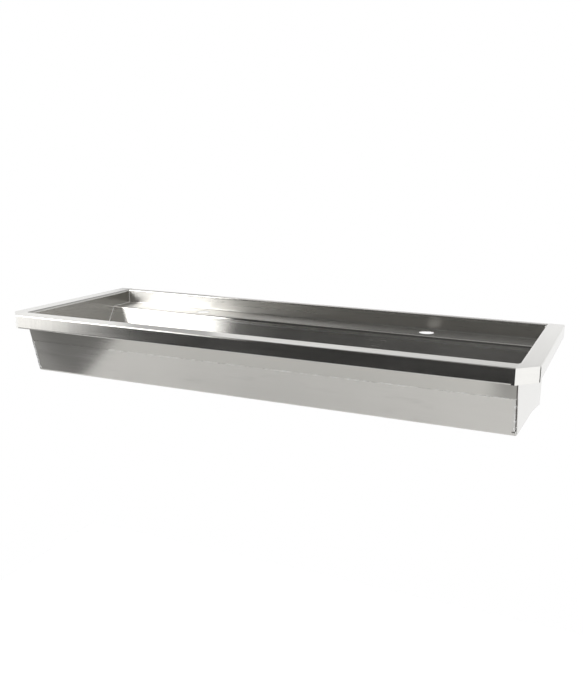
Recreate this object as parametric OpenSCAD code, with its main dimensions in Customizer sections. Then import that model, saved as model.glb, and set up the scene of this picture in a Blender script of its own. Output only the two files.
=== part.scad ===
// Wall-hung wash trough in folded stainless sheet, with a tap ledge.
// X runs along the trough, the wall is the plane Y = 0 and the front is towards minus Y.
// The origin is the centre of the four wall fixings. The rim's top lies rim_top_z above it.

/* [Trough] */
// Length over the rim
trough_l = 1200; // [900:10:1800]
// Depth from the wall to the front
trough_d = 460; // [430:5:520]
// Thickness of the folded sheet
sheet_t = 1.5; // [1:0.1:2]
// Inside radius of the folds in the bowl
bend_r = 4; // [2:0.5:6]

/* [Rim] */
// Width of the rim's top at the front
rim_front_w = 43; // [36:1:60]
// Width of the rim's top at the ends, and the reach of the cut corners
rim_side_w = 38.7; // [30:0.1:60]
// Width of the rim's top against the wall
rim_rear_w = 19.5; // [14:0.5:30]
// Height of the rim's outer face
fascia_h = 31; // [24:1:40]
// Width of the lip turned in under the rim's outer face
return_w = 12; // [8:1:20]
// Inside radius of the rim's outer edges
rim_r = 1.5; // [1:0.25:2.5]
// Width of the front leg of a corner plate
corner_leg_w = 6; // [4:0.5:10]
// Open joint between a corner plate and the rim's end face
corner_gap = 1.5; // [0.5:0.1:2]

/* [Bowl] */
// Depth of the tap ledge and of the upright bands below the rim
skirt_h = 35.5; // [34:0.5:45]
// Depth of the bowl at the foot of its front wall
bowl_h = 144.5; // [120:0.5:170]
// Lean of the front wall from upright, in degrees
front_lean = 15; // [8:1:20]
// Fall of the floor towards the wall, in degrees
floor_fall = 3.8; // [1:0.1:5]
// Lean of the bowl's rear wall from upright, in degrees
rear_lean = 32; // [20:1:36]
// Width of the tap ledge
ledge_w = 71.5; // [68:0.5:90]
// Width of the ledge's lip, turned down onto the bowl's rear wall
ledge_lip_w = 14; // [10:1:20]
// Depth of the joint between the front rim and the bowl
lap_drop = 69; // [60:1:76]
// Overlap of the two sheets at that joint
lap_w = 12; // [8:1:16]

/* [End panels] */
// Depth of an end panel at its rear edge
end_drop = 184; // [175:1:200]
// Width of an end panel's front flange
front_flange_w = 9; // [7:0.5:14]
// Width of an end panel's rear flange
rear_flange_w = 20; // [12:1:30]

/* [Taps] */
// Diameter of the tap holes
tap_hole_d = 35; // [22:0.5:36]
// Distance between the tap holes
tap_pitch = 600; // [300:10:680]

/* [Waste] */
// Distance of the waste from the foot of the front wall, along the floor
waste_y = 160; // [120:1:170]
// Diameter of the waste's flange
waste_flange_d = 72; // [68:1:76]
// Outside diameter of the waste's threaded end
waste_thread_d = 47.8; // [46:0.1:48]
// Bore of the waste
waste_bore_d = 40; // [36:0.5:42]
// Length of the waste below its flange
waste_l = 30; // [29:0.5:34]
// Diameter of the holes in the grating
grate_hole_d = 4.6; // [3:0.1:5]

/* [Wall brackets] */
// Distance from an end of the trough to the middle of its bracket
bracket_inset = 150; // [140:5:200]
// Width of a bracket
bracket_w = 80; // [70:1:90]
// Height of a bracket's wall plate
bracket_h = 130; // [115:1:130]
// Thickness of a bracket
bracket_t = 3; // [2:0.5:4]
// Height between a bracket's two wall fixings
fixing_pitch = 80; // [70:1:84]
// Diameter of the wall fixing holes
fixing_hole_d = 10; // [7:0.5:12]

/* [Hidden] */
$fn = 64;

steel = [0.72, 0.72, 0.7];
dark_rubber = [0.12, 0.12, 0.12];
grey_pad = [0.3, 0.31, 0.33];
white_plastic = [0.86, 0.86, 0.84];

// Overrun of a cutting solid past what it cuts
over = 1;
// Largest step of a fold, in degrees
fold_step = 15;
// Running clearance of a screw or thread in its hole
thread_gap = 0.2;

half_l = trough_l / 2;
// Half the length between the water faces of the end panels
inner_x = half_l - rim_side_w;
rim_outer_r = rim_r + sheet_t;
bend_outer_r = bend_r + sheet_t;
front_y = -trough_d;
skirt_y = front_y + rim_front_w;
upstand_y = -rim_rear_w;
panel_rear_y = upstand_y + sheet_t;
ledge_front_y = upstand_y - ledge_w;

// Water face of the bowl. The pan's front wall laps outside the front rim's leg
pan_skirt_y = skirt_y - sheet_t / cos(front_lean);
foot = [pan_skirt_y + tan(front_lean) * (bowl_h - skirt_h), -bowl_h];
heel_y = (ledge_front_y - tan(rear_lean) * (bowl_h - skirt_h - tan(floor_fall) * foot.x))
    / (1 + tan(rear_lean) * tan(floor_fall));
heel = [heel_y, foot.y - tan(floor_fall) * (heel_y - foot.x)];
floor_w = norm(heel - foot);
ledge_front = [ledge_front_y, -skirt_h];
// Butt joint of the ledge's lip and the bowl's rear wall
lip_foot = ledge_front - ledge_lip_w * [sin(rear_lean), cos(rear_lean)];

// Pressed seat of the waste in the floor
seat_depth = 4;
seat_slope_w = 5;
seat_clear = 1;
seat_r = waste_flange_d / 2 + seat_clear;
outlet_clear = 1;
outlet_r = waste_thread_d / 2 + outlet_clear;

// Waste set, measured down from the floor's water face
flange_t = 2;
seal_t = seat_depth - flange_t;
waste_r = waste_thread_d / 2;
neck_relief = 0.4;
seal_margin = 1.5;
lower_seal_t = 3;
slip_ring_t = 1;
backnut_t = 9;
backnut_af = 62;
backnut_collar_r = 33;
backnut_collar_t = 2.5;
lower_seal_r = 32;
spider_w = 5;
spider_t = 5;
spider_arms = 3;
boss_r = 6.5;
grate_t = 1.5;
grate_margin = 4;
grate_gap = 0.3;
waste_screw_r = 3;
waste_screw_l = 12;
waste_head_r = 5.5;
waste_head_t = 1.4;
slot_w = 1.2;
slot_depth = 0.8;
grate_ring_step = 7.6;
grate_rings = 3;
grate_holes_first_ring = 6;
thread_len = 12;

// Wall brackets and the plates that they carry the ledge by
bracket_pitch = trough_l - 2 * bracket_inset;
stud_plate_t = 3;
stud_plate_margin = 5;
stud_plate_w = bracket_w + 2 * stud_plate_margin;
stud_plate_d = 50;
stud_y = upstand_y - ledge_w / 2;
stud_pitch = 44;
stud_r = 4;
stud_l = 18;
stud_hole_r = 4.5;
bracket_reach = -stud_y + stud_plate_d / 2 + stud_plate_margin;
bracket_nose_h = 14;
bracket_foot_h = 10;
ledge_under_z = -skirt_h - sheet_t;
bracket_top_z = ledge_under_z - stud_plate_t;
washer_r = 8;
washer_t = 1.6;
nut_af = 13;
nut_t = 6.5;
fixing_top_drop = 26;
fixing_mid_z = bracket_top_z - fixing_top_drop - fixing_pitch / 2;

// Height of the rim's top over the centre of the wall fixings
rim_top_z = -fixing_mid_z;

// Pads under the floor
pad_l = 300;
pad_w = 140;
pad_t = 3;
pad_x = 230;
pad_round_r = 12;

// Earthing point under the ledge
earth_x = -half_l + rim_side_w + 50;
earth_w = 22;
earth_h = 26;
earth_t = 2;
earth_hole_r = 3.3;
earth_screw_r = 3;
earth_screw_l = 16;
earth_head_af = 10;
earth_head_t = 4;
earth_nut_t = 5;
earth_washer_r = 6;
earth_washer_t = 1.2;
earth_y = stud_y;
earth_hole_drop = 15;

// Cut at the foot of the front flange, where the folds of two sheets meet
relief_w = 3;

// Moves children from the rim's top plane to the row's origin
module placed() translate([0, 0, rim_top_z]) children();

// Both ends of the trough
module at_end(side) mirror([side > 0 ? 1 : 0, 0, 0]) children();

// Extrudes an outline drawn in Y and Z along X, centred on X = 0
module along_x(length) translate([-length / 2, 0, 0]) rotate([90, 0, 90])
    linear_extrude(length) children();

// Extrudes an outline drawn in X and Z along Y, from y0 to y1
module along_y(y0, y1) translate([0, y1, 0]) rotate([90, 0, 0])
    linear_extrude(y1 - y0) children();

// A box between two corners
module block(low, high) translate(low) cube(high - low);

// A hexagonal prism of a given width across its flats
module hexagon(across, height) cylinder(r = across / sqrt(3), h = height, $fn = 6);

// A flat ring
module ring(outer_r, inner_r, height) difference() {
    cylinder(r = outer_r, h = height);
    translate([0, 0, -over]) cylinder(r = inner_r, h = height + 2 * over);
}

function unit(v) = v / norm(v);
function left_of(v) = [-v.y, v.x];
function turn(a, b) = atan2(a.x * b.y - a.y * b.x, a * b);
function turned(v, angle) = [v.x * cos(angle) - v.y * sin(angle),
    v.x * sin(angle) + v.y * cos(angle)];

// Points of one fold, seen at a distance off from the drawn face. The metal lies to the
// left of the path where metal is 1, and to its right where it is -1
function fold(before, corner, after, t, r, metal, off) =
    let (a = unit(corner - before), b = unit(after - corner), angle = turn(a, b),
        s = sign(angle), face_r = s == metal ? r + t : r,
        own_r = s == metal ? face_r - off : face_r + off,
        centre = corner - a * face_r * tan(abs(angle) / 2) + s * left_of(a) * face_r,
        steps = ceil(abs(angle) / fold_step))
    [for (k = [0:steps]) centre - s * own_r * turned(left_of(a), k * angle / steps)];

function end_point(from, to, at, metal, off) = at + metal * off * left_of(unit(to - from));

function face(path, radii, t, metal, off) = let (last = len(path) - 1) concat(
    [end_point(path[0], path[1], path[0], metal, off)],
    [for (i = [1:1:last - 1], p = fold(path[i - 1], path[i], path[i + 1], t, radii[i - 1],
        metal, off)) p],
    [end_point(path[last - 1], path[last], path[last], metal, off)]);

function backwards(list) = [for (i = [len(list) - 1:-1:0]) list[i]];

// A strip of sheet folded along a path of face corners, with one inside radius per fold
module strip(path, radii, t, metal) polygon(concat(face(path, radii, t, metal, 0),
    backwards(face(path, radii, t, metal, t))));

// Point of the front wall's water face at a given depth
function front_wall(y0, drop) = [y0 + tan(front_lean) * (drop - skirt_h), -drop];

// Puts children on the floor's water face at the waste, with Z square to the floor
module at_waste() translate([0, foot.x + waste_y * cos(floor_fall),
    foot.y - waste_y * sin(floor_fall)]) rotate([-floor_fall, 0, 0]) children();

// Puts children on the front wall at its foot, with Z up the wall and Y square into it
module on_front_wall() translate([0, foot.x, foot.y]) rotate([front_lean, 0, 0]) children();

wall_len = (bowl_h - lap_drop) / cos(front_lean);
flange_foot = bend_outer_r + relief_w;

// Bowl pan
module pan_sheet() along_x(2 * inner_x) strip([
    front_wall(pan_skirt_y, lap_drop),
    foot,
    heel,
    lip_foot
], [bend_r, bend_r], sheet_t, -1);

// The pressed seat, drawn as half its section in the floor's own frame
module waste_seat() rotate_extrude() polygon([
    [outlet_r, -seat_depth],
    [seat_r, -seat_depth],
    [seat_r + seat_slope_w, 0],
    [seat_r + seat_slope_w, -sheet_t],
    [seat_r + sheet_t / 2, -seat_depth - sheet_t],
    [outlet_r, -seat_depth - sheet_t]
]);

module bowl_pan() placed() color(steel) {
    difference() {
        pan_sheet();
        at_waste() translate([0, 0, -sheet_t - over])
            cylinder(r = seat_r + seat_slope_w, h = sheet_t + 2 * over);
        for (side = [-1, 1]) at_end(side) on_front_wall() block(
            [-inner_x - over, -sheet_t - over, flange_foot - relief_w],
            [-inner_x - sheet_t + front_flange_w, over, wall_len + over]);
    }
    at_waste() waste_seat();
}

// Tap ledge, with the upstand, the rear rim and the apron against the wall
module tap_ledge() placed() color(steel) difference() {
    along_x(2 * inner_x) strip([
        lip_foot,
        ledge_front,
        [upstand_y, -skirt_h],
        [upstand_y, 0],
        [0, 0],
        [0, -fascia_h]
    ], [bend_r, bend_r, rim_r, rim_r], sheet_t, -1);
    for (side = [-1, 1]) translate([side * tap_pitch / 2, stud_y, ledge_under_z - over])
        cylinder(d = tap_hole_d, h = sheet_t + 2 * over);
}

// Front rim
module front_rim() placed() color(steel) difference() {
    along_x(2 * inner_x) strip([
        [front_y + return_w, -fascia_h],
        [front_y, -fascia_h],
        [front_y, 0],
        [skirt_y, 0],
        [skirt_y, -skirt_h],
        front_wall(skirt_y, lap_drop + lap_w)
    ], [rim_r, rim_r, bend_r, bend_r], sheet_t, -1);
    for (side = [-1, 1]) at_end(side) {
        block([-inner_x - over, front_y - over, -fascia_h - over],
            [-inner_x + corner_leg_w, front_y + return_w + over, -rim_outer_r]);
        on_front_wall() block([-inner_x - over, -over, wall_len - 2 * lap_w],
            [-inner_x + bend_r, sheet_t + over, wall_len + over]);
    }
}

// End panels, drawn for the left end
panel_x = -inner_x - sheet_t;
land_end_x = -inner_x - bend_outer_r;
flange_y = -sheet_t;
lap_y = front_wall(skirt_y - sheet_t, lap_drop).x;
edge_back = bend_outer_r / cos(front_lean);
rear_flange_top = -skirt_h - sheet_t - bend_outer_r;
panel_foot = foot + [tan(front_lean) * sheet_t, -sheet_t];
panel_heel = heel + [0, -sheet_t / cos(floor_fall)];

module side_rim() along_y(front_y + rim_side_w, 0) strip([
    [-half_l + return_w, -fascia_h],
    [-half_l, -fascia_h],
    [-half_l, 0],
    [land_end_x, 0]
], [rim_r, rim_r], sheet_t, -1);

module corner_land() translate([0, 0, -sheet_t]) linear_extrude(sheet_t) polygon([
    [-half_l + sheet_t * sqrt(2), front_y + rim_side_w],
    [-inner_x, front_y + sheet_t * sqrt(2)],
    [-inner_x, skirt_y],
    [land_end_x, skirt_y],
    [land_end_x, front_y + rim_side_w]
]);

module panel_outline() polygon([
    [skirt_y - sheet_t, 0],
    [skirt_y - sheet_t, -skirt_h],
    [lap_y, -lap_drop],
    [lap_y + edge_back, -lap_drop],
    [panel_foot.x + edge_back, panel_foot.y],
    panel_heel,
    [panel_rear_y - bend_outer_r, -end_drop],
    [panel_rear_y - bend_outer_r, rear_flange_top],
    [panel_rear_y, rear_flange_top],
    [panel_rear_y, -fascia_h],
    [0, -fascia_h],
    [0, 0]
]);

module panel_sheet() intersection() {
    along_y(skirt_y - sheet_t, 0) strip([
        [land_end_x, 0],
        [-inner_x, 0],
        [-inner_x, -end_drop]
    ], [bend_r], sheet_t, -1);
    translate([land_end_x, 0, 0]) rotate([90, 0, 90]) linear_extrude(rim_side_w) panel_outline();
}

module front_flange() on_front_wall() translate([0, 0, flange_foot])
    linear_extrude(wall_len - flange_foot) strip([
        [panel_x, flange_y + bend_outer_r],
        [panel_x, flange_y],
        [panel_x + front_flange_w, flange_y]
    ], [bend_r], sheet_t, 1);

module rear_flange() translate([0, 0, -end_drop]) linear_extrude(end_drop + rear_flange_top)
    strip([
        [panel_x, panel_rear_y - bend_outer_r],
        [panel_x, panel_rear_y],
        [panel_x + rear_flange_w, panel_rear_y]
    ], [bend_r], sheet_t, -1);

module end_panel() placed() color(steel) {
    side_rim();
    corner_land();
    panel_sheet();
    front_flange();
    rear_flange();
}

module end_panel_left() end_panel();
module end_panel_right() at_end(1) end_panel();

// Corner plates, drawn for the left corner
module corner_plate() placed() color(steel) intersection() {
    translate([0, 0, -fascia_h]) linear_extrude(fascia_h) strip([
        [-inner_x + corner_leg_w, front_y],
        [-inner_x, front_y],
        [-half_l + corner_gap, front_y + rim_side_w - corner_gap]
    ], [rim_r], sheet_t, -1);
    union() {
        block([-half_l, front_y, -fascia_h], [-inner_x, front_y + rim_side_w, 0]);
        block([-inner_x, front_y, -fascia_h], [-inner_x + corner_leg_w, skirt_y, -rim_outer_r]);
    }
}

module corner_plate_left() corner_plate();
module corner_plate_right() at_end(1) corner_plate();

// Stud plates under the ledge
module at_studs() for (x = [-1, 1]) translate([x * stud_pitch / 2, stud_y, bracket_top_z])
    children();

module stud_plate(side) placed() color(steel) translate([side * bracket_pitch / 2, 0, 0]) {
    block([-stud_plate_w / 2, stud_y - stud_plate_d / 2, bracket_top_z],
        [stud_plate_w / 2, stud_y + stud_plate_d / 2, ledge_under_z]);
    at_studs() translate([0, 0, -stud_l]) cylinder(r = stud_r, h = stud_l);
}

module stud_plate_left() stud_plate(-1);
module stud_plate_right() stud_plate(1);

// Wall brackets
module bracket_web() rotate([90, 0, 90]) linear_extrude(bracket_t) polygon([
    [-bracket_reach, bracket_top_z - bracket_t],
    [-bracket_t, bracket_top_z - bracket_t],
    [-bracket_t, bracket_top_z - bracket_h],
    [-bracket_t - bracket_foot_h, bracket_top_z - bracket_h],
    [-bracket_reach, bracket_top_z - bracket_nose_h]
]);

module wall_bracket(side) placed() color(steel) translate([side * bracket_pitch / 2, 0, 0]) {
    difference() {
        along_x(bracket_w) strip([
            [-bracket_reach, bracket_top_z],
            [0, bracket_top_z],
            [0, bracket_top_z - bracket_h]
        ], [bracket_t], bracket_t, -1);
        at_studs() translate([0, 0, -bracket_t - over])
            cylinder(r = stud_hole_r, h = bracket_t + 2 * over);
        for (k = [-1, 1]) translate([0, over, fixing_mid_z + k * fixing_pitch / 2])
            rotate([90, 0, 0]) cylinder(d = fixing_hole_d, h = bracket_t + 2 * over);
    }
    for (x = [-bracket_w / 2, bracket_w / 2 - bracket_t]) translate([x, 0, 0]) bracket_web();
}

module wall_bracket_left() wall_bracket(-1);
module wall_bracket_right() wall_bracket(1);

module at_brackets() placed() for (side = [-1, 1]) translate([side * bracket_pitch / 2, 0, 0])
    at_studs() translate([0, 0, -bracket_t]) children();

module bracket_washers() color(steel) at_brackets() translate([0, 0, -washer_t])
    ring(washer_r, stud_r + thread_gap, washer_t);

module bracket_nuts() color(steel) at_brackets() translate([0, 0, -washer_t - nut_t])
    difference() {
        hexagon(nut_af, nut_t);
        translate([0, 0, -over]) cylinder(r = stud_r + thread_gap, h = nut_t + 2 * over);
    }

// Floor pads
module floor_pad(side) placed() color(grey_pad) translate([side * pad_x, foot.x, foot.y])
    rotate([-floor_fall, 0, 0]) translate([0, floor_w / 2, -sheet_t - pad_t])
        linear_extrude(pad_t) difference() {
            square([pad_l, pad_w], center = true);
            for (x = [-1, 1], y = [-1, 1]) translate([x * pad_l / 2, y * pad_w / 2])
                difference() {
                    square(2 * pad_round_r, center = true);
                    translate([-x * pad_round_r, -y * pad_round_r]) circle(pad_round_r);
                }
        }

module floor_pad_left() floor_pad(-1);
module floor_pad_right() floor_pad(1);

// Earthing point
module at_earth() placed() translate([earth_x, earth_y, ledge_under_z - earth_hole_drop])
    rotate([0, 90, 0]) children();

module earth_tag() color(steel) difference() {
    placed() block([earth_x, earth_y - earth_w / 2, ledge_under_z - earth_h],
        [earth_x + earth_t, earth_y + earth_w / 2, ledge_under_z]);
    at_earth() translate([0, 0, -over]) cylinder(r = earth_hole_r, h = earth_t + 2 * over);
}

module earth_screw() color(steel) at_earth() {
    translate([0, 0, -earth_washer_t - earth_head_t]) hexagon(earth_head_af, earth_head_t);
    translate([0, 0, -earth_washer_t]) cylinder(r = earth_screw_r, h = earth_screw_l);
}

module earth_washers() color(steel) at_earth() for (z = [-earth_washer_t, earth_t])
    translate([0, 0, z]) ring(earth_washer_r, earth_screw_r + thread_gap, earth_washer_t);

module earth_nut() color(steel) at_earth() translate([0, 0, earth_t + earth_washer_t])
    difference() {
        hexagon(earth_head_af, earth_nut_t);
        translate([0, 0, -over]) cylinder(r = earth_screw_r + thread_gap, h = earth_nut_t + 2 * over);
    }

// Waste set
flange_r = waste_flange_d / 2;
grate_r = flange_r - grate_margin;
under_z = -seat_depth - sheet_t;
slip_ring_z = under_z - lower_seal_t - slip_ring_t;
tail_z = -flange_t - waste_l;
boss_z = -flange_t - spider_t;

module waste_body() placed() color(steel) at_waste() difference() {
    union() {
        difference() {
            union() {
                translate([0, 0, -flange_t]) cylinder(r = flange_r, h = flange_t);
                translate([0, 0, tail_z]) cylinder(r = waste_r, h = thread_len);
                translate([0, 0, tail_z + thread_len])
                    cylinder(r = waste_r - neck_relief, h = waste_l - thread_len);
            }
            translate([0, 0, tail_z - over])
                cylinder(d = waste_bore_d, h = waste_l + flange_t + 2 * over);
            translate([0, 0, -grate_t]) cylinder(r = grate_r + grate_gap, h = grate_t + over);
        }
        translate([0, 0, boss_z]) {
            cylinder(r = boss_r, h = flange_t + spider_t - grate_t);
            for (k = [0:spider_arms - 1]) rotate(k * 360 / spider_arms)
                translate([0, -spider_w / 2, 0])
                    cube([(waste_bore_d / 2 + waste_r) / 2, spider_w, spider_t]);
        }
    }
    translate([0, 0, boss_z - over])
        cylinder(r = waste_screw_r + thread_gap, h = flange_t + spider_t + 2 * over);
}

module waste_seal() placed() color(dark_rubber) at_waste() translate([0, 0, -seat_depth])
    ring(flange_r - seal_margin, outlet_r, seal_t);

module waste_grate() placed() color(steel) at_waste() translate([0, 0, -grate_t]) difference() {
    cylinder(r = grate_r, h = grate_t);
    translate([0, 0, -over]) {
        cylinder(r = waste_screw_r + thread_gap, h = grate_t + 2 * over);
        for (ring_no = [1:grate_rings]) for (k = [1:grate_holes_first_ring * ring_no])
            rotate(360 * k / (grate_holes_first_ring * ring_no))
                translate([grate_ring_step * ring_no + boss_r / 3, 0, 0])
                    cylinder(d = grate_hole_d, h = grate_t + 2 * over, $fn = 24);
    }
}

module waste_screw() placed() color(steel) at_waste() difference() {
    union() {
        cylinder(r = waste_head_r, h = waste_head_t);
        translate([0, 0, -waste_screw_l]) cylinder(r = waste_screw_r, h = waste_screw_l);
    }
    translate([-waste_head_r - over, -slot_w / 2, waste_head_t - slot_depth])
        cube([2 * (waste_head_r + over), slot_w, slot_depth + over]);
}

module waste_lower_seal() placed() color(dark_rubber) at_waste()
    translate([0, 0, under_z - lower_seal_t]) ring(lower_seal_r, waste_r, lower_seal_t);

module waste_slip_ring() placed() color(white_plastic) at_waste()
    translate([0, 0, slip_ring_z]) ring(lower_seal_r, waste_r, slip_ring_t);

module waste_backnut() placed() color(steel) at_waste()
    translate([0, 0, slip_ring_z - backnut_t]) difference() {
        union() {
            hexagon(backnut_af, backnut_t - backnut_collar_t);
            translate([0, 0, backnut_t - backnut_collar_t])
                cylinder(r = backnut_collar_r, h = backnut_collar_t);
        }
        translate([0, 0, -over]) cylinder(r = waste_r + thread_gap, h = backnut_t + 2 * over);
    }

bowl_pan();
tap_ledge();
front_rim();
end_panel_left();
end_panel_right();
corner_plate_left();
corner_plate_right();
stud_plate_left();
stud_plate_right();
wall_bracket_left();
wall_bracket_right();
bracket_washers();
bracket_nuts();
floor_pad_left();
floor_pad_right();
earth_tag();
earth_screw();
earth_washers();
earth_nut();
waste_body();
waste_seal();
waste_grate();
waste_screw();
waste_lower_seal();
waste_slip_ring();
waste_backnut();
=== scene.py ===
"""Wash trough in folded stainless sheet: its finishes and welds, the studio and the camera."""
import math

import bmesh
import bpy
from mathutils import Matrix, Vector


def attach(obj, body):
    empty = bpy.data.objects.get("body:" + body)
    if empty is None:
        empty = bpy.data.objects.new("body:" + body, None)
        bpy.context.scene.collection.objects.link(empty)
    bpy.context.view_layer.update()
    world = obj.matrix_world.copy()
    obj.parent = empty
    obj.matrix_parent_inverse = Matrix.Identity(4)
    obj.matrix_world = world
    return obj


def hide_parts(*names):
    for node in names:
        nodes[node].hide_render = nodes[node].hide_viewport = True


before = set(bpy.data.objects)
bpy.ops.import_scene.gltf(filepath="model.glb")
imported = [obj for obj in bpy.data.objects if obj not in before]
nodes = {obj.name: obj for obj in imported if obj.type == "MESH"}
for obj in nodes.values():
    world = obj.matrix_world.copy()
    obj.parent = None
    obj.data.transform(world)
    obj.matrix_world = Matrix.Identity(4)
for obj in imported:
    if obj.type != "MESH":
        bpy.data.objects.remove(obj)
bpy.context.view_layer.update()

# Places of the folded sheets, in metres: corners of the water faces as (y, z)
INNER_X, SHEET_T, RIM_Z = 0.5613, 0.0015, 0.106
FRONT_TOP, FRONT_FOLD = (-0.417, 0.106), (-0.417, 0.0705)
LEG_FOOT, PAN_TOP = (-0.404808, 0.025), (-0.406361, 0.025)
FOOT, HEEL = (-0.389347, -0.0385), (-0.168286, -0.053183)
LIP_FOOT, LEDGE_FRONT = (-0.098419, 0.058627), (-0.091, 0.0705)
UPSTAND_FOOT, UPSTAND_TOP = (-0.0195, 0.0705), (-0.0195, 0.106)
# Front wall's outer face at the lapped joint, and the joint of an end's flange in that wall
LAP_EDGE, FLANGE_X = (-0.411129, 0.037), 0.5538
# Front of the rim, and the joint of a corner plate in it
RIM_FRONT, PLATE_X = -0.460, 0.5553
# Outer face of an end panel
CORNER_X = INNER_X + SHEET_T
# Slope of the front wall, and y + slope * z in the middle of its thickness
WALL_SLOPE = math.tan(math.radians(15))
WALL_MIDDLE = LAP_EDGE[0] + SHEET_T / 2 + WALL_SLOPE * LAP_EDGE[1]


# Node trees

FLOAT, VECTOR = "NodeSocketFloat", "NodeSocketVector"


def wire(tree, kind, inputs=None, **settings):
    """Adds a node, sets its properties, and fills or links its inputs."""
    node = tree.nodes.new(kind)
    for name, value in settings.items():
        setattr(node, name, value)
    for name, value in (inputs or {}).items():
        socket = node.inputs[name]
        if isinstance(value, bpy.types.NodeSocket):
            tree.links.new(value, socket)
        else:
            socket.default_value = value
    return node


def calc(tree, operation, *values, clamp=False):
    """A Math node, read by its result."""
    return wire(tree, "ShaderNodeMath", dict(enumerate(values)), operation=operation,
                use_clamp=clamp).outputs[0]


def new_group(name, inputs, outputs):
    """A shader node group with named sockets. Returns the tree, its inputs and its output node."""
    tree = bpy.data.node_groups.new(name, "ShaderNodeTree")
    for label, kind, value in inputs:
        socket = tree.interface.new_socket(label, in_out="INPUT", socket_type=kind)
        socket.default_value = value
    for label, kind in outputs:
        tree.interface.new_socket(label, in_out="OUTPUT", socket_type=kind)
    return tree, tree.nodes.new("NodeGroupInput").outputs, tree.nodes.new("NodeGroupOutput")


def place_group(tree, group, inputs):
    """Places a shader node group with its own values. Returns its outputs."""
    node = wire(tree, "ShaderNodeGroup", node_tree=group)
    for name, value in inputs.items():
        if isinstance(value, bpy.types.NodeSocket):
            tree.links.new(value, node.inputs[name])
        else:
            node.inputs[name].default_value = value
    return node.outputs


def make_grain_group():
    """Fine grinding lines along one axis, with the slow cloudiness of a ground sheet."""
    tree, given, out = new_group(
        "grinding grain",
        [("Position", VECTOR, (0, 0, 0)), ("Run", VECTOR, (6, 420, 420)),
         ("Cloud Scale", FLOAT, 7.0), ("Contrast", FLOAT, 1.0)],
        [("Lines", FLOAT), ("Cloud", FLOAT), ("Height", FLOAT)])
    stretched = wire(tree, "ShaderNodeVectorMath", {0: given["Position"], 1: given["Run"]},
                     operation="MULTIPLY").outputs[0]
    fine = wire(tree, "ShaderNodeTexNoise", {"Vector": stretched, "Scale": 1.0, "Detail": 3.0,
                                             "Roughness": 0.65}).outputs[0]
    broad = wire(tree, "ShaderNodeTexNoise", {"Vector": stretched, "Scale": 0.23, "Detail": 2.0,
                                              "Roughness": 0.5}).outputs[0]
    cloud = wire(tree, "ShaderNodeTexNoise", {"Vector": given["Position"],
                                              "Scale": given["Cloud Scale"],
                                              "Detail": 3.0}).outputs[0]
    both = calc(tree, "ADD", calc(tree, "MULTIPLY", fine, 0.6), calc(tree, "MULTIPLY", broad, 0.4))
    centred = calc(tree, "SUBTRACT", both, 0.5)
    lines = calc(tree, "MULTIPLY", centred, given["Contrast"])
    tree.links.new(lines, out.inputs["Lines"])
    tree.links.new(calc(tree, "SUBTRACT", cloud, 0.5), out.inputs["Cloud"])
    tree.links.new(both, out.inputs["Height"])
    return tree


grain_group = make_grain_group()


def make_smear_group():
    """Long soft smears left on a rolled sheet by handling."""
    tree, given, out = new_group(
        "handling smears",
        [("Position", VECTOR, (0, 0, 0)), ("Run", VECTOR, (7, 40, 40)), ("Least", FLOAT, 0.55)],
        [("Mask", FLOAT)])
    stretched = wire(tree, "ShaderNodeVectorMath", {0: given["Position"], 1: given["Run"]},
                     operation="MULTIPLY").outputs[0]
    cloud = wire(tree, "ShaderNodeTexNoise", {"Vector": stretched, "Scale": 1.0, "Detail": 3.0,
                                              "Roughness": 0.6}).outputs[0]
    mask = wire(tree, "ShaderNodeMapRange", {"Value": cloud, "From Min": given["Least"],
                                             "From Max": 0.8}, interpolation_type="SMOOTHSTEP")
    tree.links.new(mask.outputs[0], out.inputs["Mask"])
    return tree


smear_group = make_smear_group()


# Finishes

SHEET_COLOUR = (0.615, 0.603, 0.573)
# Runs of the grain, small along it, and the slant and run of the hand polish
ALONG_X, ALONG_Y = (5, 420, 420), (420, 5, 420)
STREAK_SLANT, STREAK_RUN = math.radians(24), (30, 520, 0)
# How much the grain changes the roughness for its change of tone, and how deep it is
GRAIN_ROUGHENS, GRAIN_DEPTH = 1.2, 0.0002
# Spread of the light across the grain on the rolled outside of the front wall
OUTSIDE_SPREAD = 0.3
# Finely ground places of the tap ledge: depth of the land at the wall, reach round the lip's fold
LAND_DEPTH, FOLD_REACH = 0.004, 0.0065
# Where the painted shade of the right front corner starts to show, and how cloudy it is
HEAT_START_X, HEAT_CLOUD = 0.485, 2.5


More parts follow.
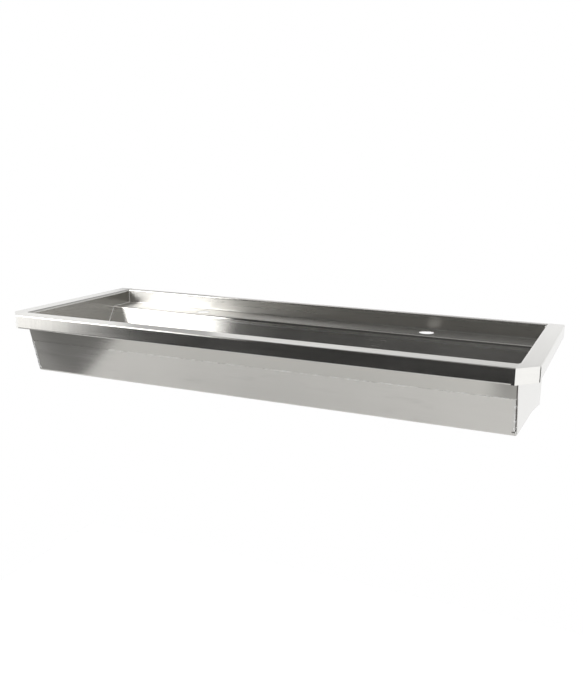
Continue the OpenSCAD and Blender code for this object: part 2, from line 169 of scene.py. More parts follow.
def steel(name, base, roughness, run, grain=0.10, cloud=0.05, bump=0.02, brushed="", spread=0.0,
          streaks=0.0, smears=0.0, outside=None, land=None, heated=0.0, metallic=1.0):
    """Ground or rolled stainless sheet, with its grain along the axis where run is small."""
    material = bpy.data.materials.new(name)
    material.use_nodes = True
    tree = material.node_tree
    tree.nodes.clear()
    position = wire(tree, "ShaderNodeTexCoord").outputs["Object"]
    grained = place_group(tree, grain_group, {"Position": position, "Run": run})
    tone = calc(tree, "ADD", 1.0, calc(tree, "ADD", calc(tree, "MULTIPLY", grained["Lines"], grain),
                                       calc(tree, "MULTIPLY", grained["Cloud"], cloud)))
    rough = calc(tree, "ADD", roughness,
                 calc(tree, "ADD", calc(tree, "MULTIPLY", grained["Lines"], GRAIN_ROUGHENS * grain),
                      calc(tree, "MULTIPLY", grained["Cloud"], cloud)))
    if streaks:
        # Marks of the last hand polish, at a slant to the grain
        slanted = wire(tree, "ShaderNodeVectorRotate", {"Vector": position, "Angle": STREAK_SLANT},
                       rotation_type="Z_AXIS").outputs[0]
        polish = place_group(tree, grain_group, {"Position": slanted, "Run": STREAK_RUN})
        tone = calc(tree, "ADD", tone, calc(tree, "MULTIPLY", polish["Lines"], streaks))
    if smears:
        marks = place_group(tree, smear_group, {"Position": position})
        tone = calc(tree, "SUBTRACT", tone, calc(tree, "MULTIPLY", marks["Mask"], smears))
    if outside is not None:
        # The front wall keeps its smoother rolled face on the outside
        place = wire(tree, "ShaderNodeSeparateXYZ", {0: position}).outputs
        from_wall = calc(tree, "ADD", place["Y"], calc(tree, "MULTIPLY", place["Z"], WALL_SLOPE))
        rolled = calc(tree, "LESS_THAN", from_wall, WALL_MIDDLE)
        rough = calc(tree, "ADD", rough, calc(tree, "MULTIPLY", rolled, outside - roughness))
        spread = calc(tree, "MULTIPLY_ADD", rolled, OUTSIDE_SPREAD - spread, spread)
    if land is not None:
        # The land at the wall and the fold of the lip are ground finer than the sheet
        height = wire(tree, "ShaderNodeSeparateXYZ", {0: position}).outputs["Z"]
        at_land = calc(tree, "GREATER_THAN", height, RIM_Z - LAND_DEPTH)
        section = wire(tree, "ShaderNodeVectorMath", {0: position, 1: (0, 1, 1)},
                       operation="MULTIPLY").outputs[0]
        from_fold = wire(tree, "ShaderNodeVectorMath", {0: section, 1: (0, *LEDGE_FRONT)},
                         operation="DISTANCE").outputs["Value"]
        at_fold = calc(tree, "LESS_THAN", from_fold, FOLD_REACH)
        fine = calc(tree, "MAXIMUM", at_land, at_fold)
        rough = calc(tree, "ADD", rough, calc(tree, "MULTIPLY", fine, land - roughness))
    if heated:
        # Painted shade: darker towards the right front corner, under the rim
        along = wire(tree, "ShaderNodeSeparateXYZ", {0: position}).outputs["X"]
        near = wire(tree, "ShaderNodeMapRange", {"Value": along, "From Min": HEAT_START_X,
                                                 "From Max": INNER_X},
                    interpolation_type="SMOOTHERSTEP").outputs[0]
        patchy = calc(tree, "MULTIPLY_ADD", grained["Cloud"], HEAT_CLOUD, 1.0)
        patch = calc(tree, "MULTIPLY", near, patchy)
        tone = calc(tree, "SUBTRACT", tone, calc(tree, "MULTIPLY", patch, heated))
    colour = wire(tree, "ShaderNodeVectorMath", {0: base, "Scale": tone}, operation="SCALE")
    relief = wire(tree, "ShaderNodeBump", {"Height": grained["Height"], "Strength": bump,
                                           "Distance": GRAIN_DEPTH})
    shader = wire(tree, "ShaderNodeBsdfPrincipled",
                  {"Base Color": colour.outputs[0], "Roughness": rough,
                   "Normal": relief.outputs[0]})
    shader.inputs["Metallic"].default_value = metallic
    if brushed:
        # Light spreads across the grain, so the tangent runs round the axis of the grain
        across = wire(tree, "ShaderNodeTangent", direction_type="RADIAL", axis=brushed)
        tree.links.new(across.outputs[0], shader.inputs["Tangent"])
        if outside is None:
            shader.inputs["Anisotropic"].default_value = spread
        else:
            tree.links.new(spread, shader.inputs["Anisotropic"])
    wire(tree, "ShaderNodeOutputMaterial", {"Surface": shader.outputs[0]})
    return material


ledge_steel = steel("satin steel, tap ledge", SHEET_COLOUR, 0.29, ALONG_X, grain=0.13,
                    brushed="X", spread=1.0, land=0.15)
pan_steel = steel("satin steel, bowl", SHEET_COLOUR, 0.24, ALONG_X, brushed="X", spread=1.0,
                  cloud=0.12, smears=0.12, outside=0.09)
# The dressed lap carries painted shade towards the right front corner
lap_steel = steel("satin steel, dressed lap", (0.569, 0.558, 0.525), 0.09, ALONG_X, brushed="X",
                  spread=0.3, cloud=0.12, heated=0.42)
rim_steel = steel("satin steel, front rim", SHEET_COLOUR, 0.142, ALONG_X, brushed="X",
                  spread=0.88, streaks=0.3)
end_steel = steel("satin steel, ends", (0.605, 0.597, 0.574), 0.2, ALONG_Y, brushed="Y",
                  spread=0.35)
corner_steel = steel("satin steel, corner plates", (0.605, 0.60, 0.582), 0.142, (9, 9, 500),
                     grain=0.25, brushed="X", spread=0.88)
bracket_steel = steel("rolled bracket steel", (0.52, 0.52, 0.51), 0.38, (60, 60, 60))
bright_steel = steel("turned bright steel", (0.66, 0.66, 0.655), 0.16, (300, 300, 300),
                     grain=0.04, cloud=0.02)
weld_steel = steel("brushed weld", (0.80, 0.795, 0.78), 0.42, (700, 700, 700), grain=0.3,
                   cloud=0.2, bump=0.3)
matt_weld = steel("pickled weld", (0.86, 0.855, 0.84), 0.6, (700, 700, 700), grain=0.3,
                  cloud=0.2, bump=0.3, metallic=0.15)
tinted_steel = steel("heat-tinted seam", (0.16, 0.15, 0.14), 0.45, (500, 500, 500), grain=0.4,
                     cloud=0.4, bump=0.3)


def matt(name, colour, roughness, grain_scale, bump):
    """Rubber or plastic, mottled and with a fine moulded grain."""
    material = bpy.data.materials.new(name)
    material.use_nodes = True
    tree = material.node_tree
    tree.nodes.clear()
    position = wire(tree, "ShaderNodeTexCoord").outputs["Object"]
    grained = place_group(tree, grain_group, {"Position": position, "Run": (grain_scale,) * 3,
                                              "Cloud Scale": 30.0})
    tone = calc(tree, "ADD", 1.0, calc(tree, "MULTIPLY", grained["Cloud"], 0.5))
    tint = wire(tree, "ShaderNodeVectorMath", {0: colour, "Scale": tone}, operation="SCALE")
    rough = calc(tree, "ADD", roughness, calc(tree, "MULTIPLY", grained["Lines"], 0.3))
    relief = wire(tree, "ShaderNodeBump", {"Height": grained["Height"], "Strength": bump,
                                           "Distance": 0.0004})
    shader = wire(tree, "ShaderNodeBsdfPrincipled",
                  {"Base Color": tint.outputs[0], "Roughness": rough, "Normal": relief.outputs[0]})
    wire(tree, "ShaderNodeOutputMaterial", {"Surface": shader.outputs[0]})
    return material


seal_rubber = matt("seal rubber", (0.03, 0.03, 0.032), 0.6, 900.0, 0.15)
pad_rubber = matt("sound-deadening pad", (0.045, 0.046, 0.05), 0.75, 700.0, 0.4)
ring_plastic = matt("slip ring plastic", (0.74, 0.74, 0.72), 0.42, 500.0, 0.05)

FINISHES = {
    "bowl_pan": pan_steel, "tap_ledge": ledge_steel, "front_rim": rim_steel,
    "end_panel_left": end_steel, "end_panel_right": end_steel,
    "corner_plate_left": corner_steel, "corner_plate_right": corner_steel,
    "stud_plate_left": bracket_steel, "stud_plate_right": bracket_steel,
    "wall_bracket_left": bracket_steel, "wall_bracket_right": bracket_steel,
    "bracket_washers": bright_steel, "bracket_nuts": bright_steel,
    "floor_pad_left": pad_rubber, "floor_pad_right": pad_rubber,
    "earth_tag": bracket_steel, "earth_screw": bright_steel, "earth_washers": bright_steel,
    "earth_nut": bright_steel, "waste_body": bright_steel, "waste_seal": seal_rubber,
    "waste_grate": bright_steel, "waste_screw": bright_steel, "waste_lower_seal": seal_rubber,
    "waste_slip_ring": ring_plastic, "waste_backnut": bright_steel,
}
for name, finish in FINISHES.items():
    mesh = nodes[name].data
    mesh.materials.clear()
    mesh.materials.append(finish)


# Sheets and hardware

# Turns in degrees: what still counts as flat, and from where an edge is a cut one
FLAT_TURN, CUT_TURN = 0.4, 40
# How near to a joint's plane an edge of that joint lies
NEAR = 1e-4
# Radius of the sheets' broken edges
SHEET_EDGE_R = 0.00045


def link(name, mesh):
    """Puts a mesh into the scene at the origin."""
    piece = bpy.data.objects.new(name, mesh)
    bpy.context.scene.collection.objects.link(piece)
    return piece


def baked(piece):
    """Turns the modifiers of a piece into plain mesh."""
    result = bpy.data.meshes.new_from_object(piece.evaluated_get(
        bpy.context.evaluated_depsgraph_get()))
    piece.modifiers.clear()
    piece.data = result
    return piece


def ground_flush(edge):
    """Whether an edge lies at a butt weld that is ground flush, where nothing is rounded."""
    middle = (edge.verts[0].co + edge.verts[1].co) / 2
    x = abs(middle.x)
    at_land = abs(x - INNER_X) < NEAR and middle.z > RIM_Z - 1.2 * SHEET_T
    at_lip = math.hypot(middle.y - LIP_FOOT[0], middle.z - LIP_FOOT[1]) < 1.2 * SHEET_T
    at_plate = abs(x - PLATE_X) < NEAR and middle.y < RIM_FRONT + 1.2 * SHEET_T
    at_flange = abs(x - FLANGE_X) < NEAR and middle.z < LAP_EDGE[1]
    at_lap = math.hypot(middle.y - LAP_EDGE[0], middle.z - LAP_EDGE[1]) < 0.5 * SHEET_T
    return at_land or at_lip or at_plate or at_flange or at_lap


def broken_edges(node, edge_r, segments=2):
    """A node's shape with its folds smooth and its cut edges broken, in the node's place."""
    shape = bmesh.new()
    shape.from_mesh(nodes[node].data)
    bmesh.ops.remove_doubles(shape, verts=shape.verts, dist=1e-6)
    bmesh.ops.dissolve_limit(shape, angle_limit=math.radians(FLAT_TURN), verts=shape.verts,
                             edges=shape.edges)
    sharp = [edge for edge in shape.edges
             if edge.is_manifold and edge.calc_face_angle() > math.radians(CUT_TURN)]
    for edge in sharp:
        edge.smooth = not ground_flush(edge)
    sharp = [edge for edge in sharp if edge.smooth]
    bmesh.ops.bevel(shape, geom=sharp, offset=edge_r, segments=segments, profile=0.5,
                    affect="EDGES", clamp_overlap=True)
    for face in shape.faces:
        face.smooth = True
    mesh = bpy.data.meshes.new(node + "_finished")
    shape.to_mesh(mesh)
    shape.free()
    mesh.materials.append(FINISHES[node])
    piece = link(node + "_finished", mesh)
    even = piece.modifiers.new("even normals", "WEIGHTED_NORMAL")
    even.weight = 90
    even.keep_sharp = True
    baked(piece)
    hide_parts(node)
    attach(piece, "root")
    return piece


for sheet in ("bowl_pan", "tap_ledge", "front_rim", "end_panel_left", "end_panel_right",
              "corner_plate_left", "corner_plate_right"):
    broken_edges(sheet, SHEET_EDGE_R)
for side in ("left", "right"):
    broken_edges("stud_plate_" + side, 0.0004)
    broken_edges("wall_bracket_" + side, 0.0006)
    broken_edges("floor_pad_" + side, 0.0007)
broken_edges("earth_tag", 0.0003)
for part, edge_r in (("bracket_washers", 0.0002), ("bracket_nuts", 0.0006), ("earth_screw", 0.0004),
                     ("earth_washers", 0.0002), ("earth_nut", 0.0004), ("waste_body", 0.0004),
                     ("waste_grate", 0.0003), ("waste_screw", 0.0002), ("waste_backnut", 0.0008)):
    broken_edges(part, edge_r, 1)


# Welds and threads

def new_geometry(name, inputs):
    """A geometry tree with named sockets. Returns the tree, its inputs and its output node."""
    tree = bpy.data.node_groups.new(name, "GeometryNodeTree")
    tree.interface.new_socket("Geometry", in_out="INPUT", socket_type="NodeSocketGeometry")
    tree.interface.new_socket("Geometry", in_out="OUTPUT", socket_type="NodeSocketGeometry")
    for label, kind in inputs:
        tree.interface.new_socket(label, in_out="INPUT", socket_type=kind)
    return tree, tree.nodes.new("NodeGroupInput").outputs, tree.nodes.new("NodeGroupOutput")


def finished(tree, geometry, finish, out):
    """Ends a geometry tree: real mesh, smooth shading and its material."""
    real = wire(tree, "GeometryNodeRealizeInstances", {"Geometry": geometry}).outputs[0]
    smooth = wire(tree, "GeometryNodeSetShadeSmooth", {"Geometry": real}).outputs[0]
    painted = wire(tree, "GeometryNodeSetMaterial", {"Geometry": smooth, "Material": finish})
    tree.links.new(painted.outputs[0], out.inputs["Geometry"])


def make_bead_tree():
    """Weld beads laid one over the next along a path."""
    tree, given, out = new_geometry("weld beads", [
        ("Pitch", FLOAT), ("Width", FLOAT), ("Depth", FLOAT), ("Unevenness", FLOAT),
        ("Swell Scale", FLOAT), ("Seed", "NodeSocketInt"), ("Finish", "NodeSocketMaterial")])
    path = wire(tree, "GeometryNodeMeshToCurve", {"Mesh": given["Geometry"]}).outputs[0]
    spaced = wire(tree, "GeometryNodeResampleCurve", {"Curve": path, "Length": given["Pitch"]},
                  mode="LENGTH").outputs[0]
    bead = wire(tree, "GeometryNodeMeshUVSphere", {"Segments": 8, "Rings": 4, "Radius": 0.5})
    chance = wire(tree, "FunctionNodeRandomValue", {2: -0.5, 3: 0.5, "Seed": given["Seed"]},
                  data_type="FLOAT").outputs[1]
    swell = wire(tree, "ShaderNodeTexNoise", {"Scale": given["Swell Scale"], "Detail": 1.0})
    slow = calc(tree, "MULTIPLY", calc(tree, "SUBTRACT", swell.outputs[0], 0.5), 2.0)
    change = calc(tree, "MULTIPLY", calc(tree, "ADD", chance, slow), given["Unevenness"])
    size = calc(tree, "ADD", 1.0, change)
    wide, deep = (calc(tree, "MULTIPLY", size, given[way]) for way in ("Width", "Depth"))
    sizes = wire(tree, "ShaderNodeCombineXYZ", {"X": wide, "Y": deep, "Z": wide}).outputs[0]
    laid = wire(tree, "GeometryNodeInstanceOnPoints",
                {"Points": spaced, "Instance": bead.outputs[0], "Scale": sizes}).outputs[0]
    finished(tree, laid, given["Finish"], out)
    return tree


def make_thread_tree():
    """The ridge of a screw thread, wound upwards from each point of a mesh."""
    tree, given, out = new_geometry("screw thread", [
        ("Radius", FLOAT), ("Pitch", FLOAT), ("Length", FLOAT), ("Ridge", FLOAT),
        ("Turn", VECTOR), ("Finish", "NodeSocketMaterial")])
    turns = calc(tree, "DIVIDE", given["Length"], given["Pitch"])
    helix = wire(tree, "GeometryNodeCurveSpiral", {
        "Resolution": 20, "Rotations": turns, "Start Radius": given["Radius"],
        "End Radius": given["Radius"], "Height": given["Length"]}).outputs[0]
    profile = wire(tree, "GeometryNodeCurvePrimitiveCircle",
                   {"Resolution": 4, "Radius": given["Ridge"]}).outputs[0]
    ridge = wire(tree, "GeometryNodeCurveToMesh", {"Curve": helix, "Profile Curve": profile,
                                                   "Fill Caps": True}).outputs[0]
    wound = wire(tree, "GeometryNodeInstanceOnPoints",
                 {"Points": given["Geometry"], "Instance": ridge, "Rotation": given["Turn"]})
    finished(tree, wound.outputs[0], given["Finish"], out)
    return tree


bead_tree, thread_tree = make_bead_tree(), make_thread_tree()


def grown(name, tree, paths, values):
    """A plain mesh that a geometry tree grows on paths, each a list of points."""
    base = bpy.data.meshes.new(name)
    points = [point for path in paths for point in path]
    starts = [sum(len(path) for path in paths[:k]) for k in range(len(paths))]
    edges = [(start + k, start + k + 1) for start, path in zip(starts, paths)
             for k in range(len(path) - 1)]
    base.from_pydata(points, edges, [])
    piece = link(name, base)
    grow = piece.modifiers.new(name, "NODES")
    grow.node_group = tree
    sockets = {item.name: item.identifier for item in tree.interface.items_tree
               if item.item_type == "SOCKET" and item.in_out == "INPUT"}
    for label, value in values.items():
        grow[sockets[label]] = value
    mesh = baked(piece).data
    mesh.materials.clear()
    mesh.materials.append(values["Finish"])
    mesh.polygons.foreach_set("material_index", [0] * len(mesh.polygons))
    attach(piece, "root")
    return piece


def weld(name, paths, width, pitch, unevenness, seed, swell=60.0, finish=weld_steel, depth=None):
    """Weld beads along paths, as wide across as deep unless a depth is given."""
    return grown(name, bead_tree, paths, {
        "Width": width, "Depth": depth or width, "Pitch": pitch, "Unevenness": unevenness,
        "Swell Scale": swell, "Seed": seed, "Finish": finish})


def rounded(corners, radii, steps=5):
    """A path through corners (y, z), with a fillet of its own radius at each inner corner."""
    path = [Vector(corners[0])]
    for before, corner, after, radius in zip(corners, corners[1:], corners[2:], radii):
        corner = Vector(corner)
        back, on = (Vector(before) - corner).normalized(), (Vector(after) - corner).normalized()
        half = back.angle(on) / 2
        centre = corner + (back + on).normalized() * radius / math.sin(half)
        first, last = (corner + way * radius / math.tan(half) for way in (back, on))
        for k in range(steps + 1):
            arm = (first - centre).lerp(last - centre, k / steps).normalized()
            path.append(centre + arm * radius)
    return path + [Vector(corners[-1])]


def at_both_ends(path, x):
    """A path (y, z) laid at x and at -x."""
    return [[(side * x, y, z) for y, z in path] for side in (-1, 1)]


water_line = rounded([FRONT_TOP, FRONT_FOLD, LEG_FOOT], [0.0055]) \
    + rounded([PAN_TOP, FOOT, HEEL, LEDGE_FRONT, UPSTAND_FOOT, UPSTAND_TOP],
              [0.004, 0.004, 0.0055, 0.004])
weld("end_welds", at_both_ends([(y, min(z, RIM_Z - 0.0035)) for y, z in water_line],
                               INNER_X - 0.0001),
     width=0.0027, pitch=0.0012, unevenness=0.25, seed=3)

# Filler where the folds of the front and rear rims end against the fold of an end's land
FILL_X, FILL_Z = INNER_X + 0.0008, RIM_Z - 0.0016
weld("rim_corner_fill", [[(side * FILL_X, first, FILL_Z), (side * FILL_X, last, FILL_Z)]
                         for side in (-1, 1)
                         for first, last in ((FRONT_TOP[0] - 0.0040, FRONT_TOP[0] - 0.0006),
                                             (UPSTAND_TOP[0] + 0.0006, -0.0016))],
     width=0.0029, pitch=0.0006, unevenness=0.05, seed=9, finish=end_steel)


def make_lap_dressing(top=0.031, end_gap=0.0008):
    """Weld metal and filler above the edge of the front lap, ground flush with the lower sheet."""
    end_x, back = INNER_X - end_gap, SHEET_T / math.cos(math.atan(WALL_SLOPE))
    corners = [(LAP_EDGE[0] - WALL_SLOPE * rise + depth, LAP_EDGE[1] + rise)
               for rise, depth in ((0, 0), (top, 0), (top, back), (0, back))]
    mesh = bpy.data.meshes.new("lap_dressing")
    mesh.from_pydata([(x, y, z) for x in (-end_x, end_x) for y, z in corners], [],
                     [(0, 4, 5, 1), (1, 5, 6, 2), (2, 6, 7, 3), (3, 7, 4, 0), (0, 1, 2, 3),
                      (4, 7, 6, 5)])
    mesh.materials.append(lap_steel)
    piece = link("lap_dressing", mesh)
    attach(piece, "root")


def along_lap(first, last, inset):
    """A line along the front lap, set back from the sheet's outer face."""
    return [(x, LAP_EDGE[0] + inset, LAP_EDGE[1] + 0.0004) for x in (first, last)]


make_lap_dressing()
weld("lap_weld", [along_lap(-0.34, INNER_X - 0.001, 0.0002)],
     width=0.0024, depth=0.0007, pitch=0.0013, unevenness=0.9, swell=45.0, seed=7)
weld("lap_seam", [along_lap(0.001 - INNER_X, -0.36, 0.0003)],
     width=0.0020, depth=0.0007, pitch=0.0011, unevenness=0.9, swell=45.0, seed=8,
     finish=tinted_steel)


def down_corner(side, inset, first, last, depth=None):
    """A line down the corner of the front wall and an end, inset from the end and from the wall."""
    return [(side * (CORNER_X - inset), LAP_EDGE[0] + WALL_SLOPE * drop + (depth or inset),
             LAP_EDGE[1] - drop) for drop in (first, last)]


weld("corner_seam", [down_corner(1, 0.0015, -0.030, 0.066), down_corner(-1, 0.0015, 0.0, 0.066)],
     width=0.0030, pitch=0.0012, unevenness=0.3, swell=90.0, seed=5, finish=tinted_steel)
weld("corner_weld", [down_corner(1, 0.0036, 0.012, 0.018, 0.0010),
                     down_corner(1, 0.0040, 0.030, 0.040, 0.0010),
                     down_corner(1, 0.0036, 0.044, 0.064, 0.0010)],
     width=0.0028, pitch=0.0014, unevenness=0.9, swell=240.0, seed=5)
weld("left_corner_weld", [down_corner(-1, 0.0042, 0.002, 0.066, 0.0007)],
     width=0.0036, pitch=0.0013, unevenness=0.5, swell=120.0, seed=6, finish=matt_weld)


# Hidden welds: the stud plates to the ledge, and the webs of the wall brackets
BRACKET_X, STUD_Y, PLATE_HALF_W, PLATE_HALF_D = 0.45, -0.05525, 0.045, 0.025
PLATE_WELD_Z = 0.0683
# Outer faces of a bracket's webs from its middle, its back at the wall and its top at the ledge
WEB_X, WEB_BACK_Y, WEB_TOP_Z = 0.0368, -0.003, 0.063
STITCH_L, STITCH_GAP = 0.012, 0.010


def stitches(first, last):
    """Short runs along a line, each as long as a stitch weld."""
    first, last = Vector(first), Vector(last)
    way, length = (last - first).normalized(), (last - first).length
    count = int((length + STITCH_GAP) / (STITCH_L + STITCH_GAP))
    margin = (length - count * STITCH_L - (count - 1) * STITCH_GAP) / 2
    starts = [margin + k * (STITCH_L + STITCH_GAP) for k in range(count)]
    return [[first + way * at, first + way * (at + STITCH_L)] for at in starts]


plate_runs, web_runs = [], []
for side in (-1, 1):
    for y in (STUD_Y - PLATE_HALF_D, STUD_Y + PLATE_HALF_D):
        plate_runs += stitches((side * BRACKET_X - PLATE_HALF_W, y, PLATE_WELD_Z),
                               (side * BRACKET_X + PLATE_HALF_W, y, PLATE_WELD_Z))
    for web in (-1, 1):
        x = side * BRACKET_X + web * WEB_X
        web_runs += stitches((x, WEB_BACK_Y, 0.058), (x, WEB_BACK_Y, -0.058))
        web_runs += stitches((x, -0.012, WEB_TOP_Z), (x, -0.078, WEB_TOP_Z))
weld("stud_plate_welds", plate_runs, width=0.0026, pitch=0.0010, unevenness=0.2, seed=11)
weld("bracket_welds", web_runs, width=0.0040, pitch=0.0013, unevenness=0.25, seed=13)


def thread(name, starts, radius, pitch, length, turn=(0.0, 0.0, 0.0)):
    """Screw thread on the plain shanks that stand on the starts, which are its first turns."""
    return grown(name, thread_tree, [[start] for start in starts], {
        "Radius": radius, "Pitch": pitch, "Length": length, "Ridge": 0.25 * pitch,
        "Turn": turn, "Finish": bright_steel})


# Threads: the plate studs below their nuts, the earthing screw past its nut, the waste's tail
thread("stud_threads", [(side * BRACKET_X + x, STUD_Y, 0.0483) for side in (-1, 1)
                        for x in (-0.022, 0.022)],
       radius=0.0038, pitch=0.00125, length=0.0062)
thread("earth_thread", [(-0.5031, STUD_Y, 0.054)],
       radius=0.00285, pitch=0.001, length=0.0062, turn=(0.0, math.radians(90), 0.0))
thread("waste_thread", [(0.0, -0.231787, -0.080535)],
       radius=0.0236, pitch=0.0023, length=0.0105, turn=(math.radians(-3.8), 0.0, 0.0))


# Studio

def make_floor(left=-2.046, right=2.6, front=-3.4, back=1.6, z=-1.6):
    """A plain pale floor. Its left edge, mirrored in the front wall, ends the wall's dark wedge."""
    mesh = bpy.data.meshes.new("studio floor")
    mesh.from_pydata([(left, front, z), (right, front, z), (right, back, z), (left, back, z)], [],
                     [(0, 1, 2, 3)])
    floor = link("studio floor", mesh)
    material = bpy.data.materials.new("pale floor")
    material.use_nodes = True
    tree = material.node_tree
    tree.nodes.clear()
    seen = wire(tree, "ShaderNodeLightPath").outputs["Is Camera Ray"]
    paint = wire(tree, "ShaderNodeBsdfDiffuse", {"Color": (0.8, 0.8, 0.8, 1)})
    lift = wire(tree, "ShaderNodeEmission", {"Color": (1, 1, 1, 1),
                                             "Strength": calc(tree, "MULTIPLY", seen, 0.3)})
    both = wire(tree, "ShaderNodeAddShader", {0: paint.outputs[0], 1: lift.outputs[0]})
    wire(tree, "ShaderNodeOutputMaterial", {"Surface": both.outputs[0]})
    mesh.materials.append(material)


def ramp(tree, value, low, high):
    """0 below low, 1 above high, and smooth between them."""
    return wire(tree, "ShaderNodeMapRange", {"Value": value, "From Min": low, "From Max": high},
                interpolation_type="SMOOTHSTEP").outputs[0]


def band(tree, value, low, high, soft):
    """1 between low and high, with edges soft degrees wide."""
    rising = ramp(tree, value, low - soft / 2, low + soft / 2)
    falling = ramp(tree, value, high - soft / 2, high + soft / 2)
    return calc(tree, "SUBTRACT", rising, falling)


# Lights and pale walls that the metal mirrors: strength, then the turn from straight behind
# towards the left, the rise, and the softness of the edges, all in degrees
MIRRORED = [
    (1.20, (-70, 30.2), (0, 15.9), 1.5),
    (1.08, (-70, 40), (-45, 0), 4),
    (0.65, (29, 39), (-25, 15.9), 3),
    (1.18, (35.5, 100), (-25, 15.9), 4),
    (0.87, (36, 100), (14.3, 60), 5),
    (1.52, (-125, -60), (-28, 60), 8),
    (0.45, (-181, 181), (66, 91), 12),
    (0.23, (-181, 181), (-91, -24), 6),
    (0.48, (60, 129), (-91, -24), 4),
    (0.30, (-100, 60), (12, 70), 6),
    (0.80, (24, 38), (24, 44), 6),
    (0.80, (-45, 2), (24, 44), 4),
]
# The tall light at the left: its back edge, the turn of its front edge where that bows out most,
# the rise there, how fast the edge falls back below and above it, and its softness. Then its
# strength with low end, high end and softness, and the same for what its bright part adds
LEFT_LIGHT = {"back edge": (95.0, 105.0), "edge": 150.9, "eye rise": 13.0, "fall below": 0.019,
              "fall above": 0.0244, "soft": 0.5, "strength": 1.59, "rises": (-25.0, 70.0, 4.0),
              "more": 1.62, "bright rises": (2.0, 60.0, 8.0)}
# The unlit room in front: its strength overall, and what eye height and the ceiling add, each
# with the rises at which it does
DARK_ROOM = {"strength": 0.0377, "eye height": (0.0447, (4.0, 30.0, 6.0)),
             "ceiling": (0.0141, (26.0, 34.0))}


def make_world():
    """A white room behind, tall soft lights at the sides and a dark room in front."""
    world = bpy.data.worlds.new("studio")
    bpy.context.scene.world = world
    world.use_nodes = True
    tree = world.node_tree
    tree.nodes.clear()
    way = wire(tree, "ShaderNodeTexCoord").outputs["Generated"]
    parts = wire(tree, "ShaderNodeSeparateXYZ", {0: way}).outputs
    turn = calc(tree, "MULTIPLY", calc(tree, "ARCTAN2", calc(tree, "MULTIPLY", parts["X"], -1.0),
                                       parts["Y"]), math.degrees(1))
    rise = calc(tree, "MULTIPLY", calc(tree, "ARCSINE", parts["Z"]), math.degrees(1))
    # Front edge of the left light, which bows out most at eye height
    above = calc(tree, "SUBTRACT", rise, LEFT_LIGHT["eye rise"])
    fall = wire(tree, "ShaderNodeMapRange", {"Value": above, "From Min": -1.0, "From Max": 1.0,
                                             "To Min": LEFT_LIGHT["fall below"],
                                             "To Max": LEFT_LIGHT["fall above"]}).outputs[0]
    bow = calc(tree, "MULTIPLY", calc(tree, "MULTIPLY", above, above), fall)
    past_edge = calc(tree, "ADD", calc(tree, "SUBTRACT", turn, LEFT_LIGHT["edge"]), bow)
    soft = LEFT_LIGHT["soft"]
    inside = calc(tree, "SUBTRACT", 1.0, ramp(tree, past_edge, -soft, soft))
    inside = calc(tree, "MULTIPLY", ramp(tree, turn, *LEFT_LIGHT["back edge"]), inside)
    tall = calc(tree, "MULTIPLY", band(tree, rise, *LEFT_LIGHT["rises"]), LEFT_LIGHT["strength"])
    bright = calc(tree, "MULTIPLY", band(tree, rise, *LEFT_LIGHT["bright rises"]),
                  LEFT_LIGHT["more"])
    left = calc(tree, "MULTIPLY", inside, calc(tree, "ADD", tall, bright))
    # The dark room in front
    strength, rises = DARK_ROOM["eye height"]
    wall = calc(tree, "MULTIPLY", band(tree, rise, *rises), strength)
    strength, rises = DARK_ROOM["ceiling"]
    ceiling = calc(tree, "MULTIPLY", ramp(tree, rise, *rises), strength)
    dark_room = calc(tree, "ADD", wall, calc(tree, "ADD", ceiling, DARK_ROOM["strength"]))
    glow = calc(tree, "MAXIMUM", left, dark_room)
    for strength, turns, rises, soft in MIRRORED:
        card = calc(tree, "MULTIPLY", band(tree, turn, *turns, soft),
                    band(tree, rise, *rises, soft))
        glow = calc(tree, "MAXIMUM", glow, calc(tree, "MULTIPLY", card, strength))
    path = wire(tree, "ShaderNodeLightPath").outputs
    mirrored = wire(tree, "ShaderNodeBackground", {"Color": (1, 1, 1, 1), "Strength": glow})
    plain = wire(tree, "ShaderNodeBackground", {"Color": (1, 1, 1, 1), "Strength": 0.3})
    white = wire(tree, "ShaderNodeBackground", {"Color": (1, 1, 1, 1), "Strength": 1.0})
    unseen = wire(tree, "ShaderNodeMixShader", {0: path["Is Glossy Ray"], 1: plain.outputs[0],
                                                2: mirrored.outputs[0]})
    seen = wire(tree, "ShaderNodeMixShader", {0: path["Is Camera Ray"], 1: unseen.outputs[0],
                                              2: white.outputs[0]})
    wire(tree, "ShaderNodeOutputWorld", {"Surface": seen.outputs[0]})


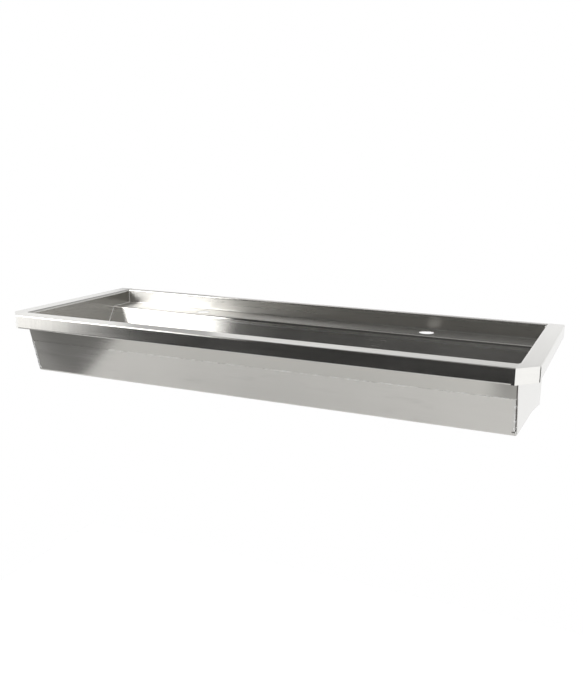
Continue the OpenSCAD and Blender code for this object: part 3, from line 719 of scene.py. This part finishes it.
def make_key_light():
    """One broad soft light from behind and the right, which gives the floor its shadow."""
    lamp = bpy.data.lights.new("soft key", "SUN")
    lamp.energy = 3.75
    lamp.angle = math.radians(34)
    key = bpy.data.objects.new("soft key", lamp)
    key.rotation_euler = Vector((-0.9, -1.5, -1.6)).to_track_quat("-Z", "Y").to_euler()
    key.visible_glossy = False
    bpy.context.scene.collection.objects.link(key)


def make_side_light(centre, aim, size, strength):
    """A soft box high beyond the left end, which the inner sheets catch across their grain."""
    lamp = bpy.data.lights.new("side light", "AREA")
    lamp.shape = "RECTANGLE"
    lamp.size, lamp.size_y = size
    lamp.energy = strength * math.pi * size[0] * size[1]
    box = bpy.data.objects.new("side light", lamp)
    facing = (Vector(centre) - Vector(aim)).to_track_quat("Z", "Y")
    box.matrix_world = Matrix.Translation(centre) @ facing.to_matrix().to_4x4()
    box.visible_camera = False
    bpy.context.scene.collection.objects.link(box)


def make_camera():
    """The photograph's camera: its place, angles and lens, for a frame of 583 by 700."""
    yaw, pitch, roll = 0.41945356, 0.22691017, 0.0097591
    focal_px, frame_h, sensor = 781.856, 700, 36.0
    ahead = Vector((-math.sin(yaw) * math.cos(pitch), math.cos(yaw) * math.cos(pitch),
                    -math.sin(pitch)))
    level = Vector((math.cos(yaw), math.sin(yaw), 0))
    above = level.cross(ahead)
    side = math.cos(roll) * level + math.sin(roll) * above
    top = -math.sin(roll) * level + math.cos(roll) * above
    lens = bpy.data.cameras.new("camera")
    lens.sensor_width = sensor
    lens.lens = sensor * focal_px / frame_h
    camera = bpy.data.objects.new("camera", lens)
    turn = Matrix((side, top, -ahead)).transposed().to_4x4()
    camera.matrix_world = Matrix.Translation((0.74155, -1.81878, 0.43870)) @ turn
    bpy.context.scene.collection.objects.link(camera)
    bpy.context.scene.camera = camera


make_floor()
make_world()
make_key_light()
make_side_light((-0.903, -0.664, 0.55), (-0.6, 0.0, 0.17), (0.40, 0.54), 4.62)
make_camera()
bpy.context.scene.view_settings.view_transform = "Standard"
